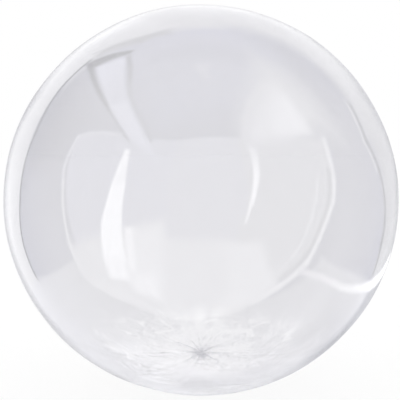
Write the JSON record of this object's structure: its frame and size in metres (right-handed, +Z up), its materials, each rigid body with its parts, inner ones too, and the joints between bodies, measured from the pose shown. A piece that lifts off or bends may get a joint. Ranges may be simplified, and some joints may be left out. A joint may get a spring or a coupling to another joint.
{
  "type": "bubble balloon",
  "caption": "Round clear film balloon full of air, gathered at a low neck that is closed by a knot in itself, with a short flat tail; it rests on a small flat underneath.",
  "frame": {"origin": "middle of the small flat that the balloon rests on, which is also the middle of the underside of its box", "axes": "+Z up from the floor; +Y towards the back, where the neck leaves low down and the tail lies; the bare front faces -Y; +X to the right as seen from the front"},
  "size_m": [0.45, 0.4498, 0.4439],
  "materials": {
    "clear_film": "clear stretched plastic film, glossy, with a faint lavender grey cast"
  },
  "bodies": {
    "root": {"balloon": "clear_film"}
  },
  "joints": []
}
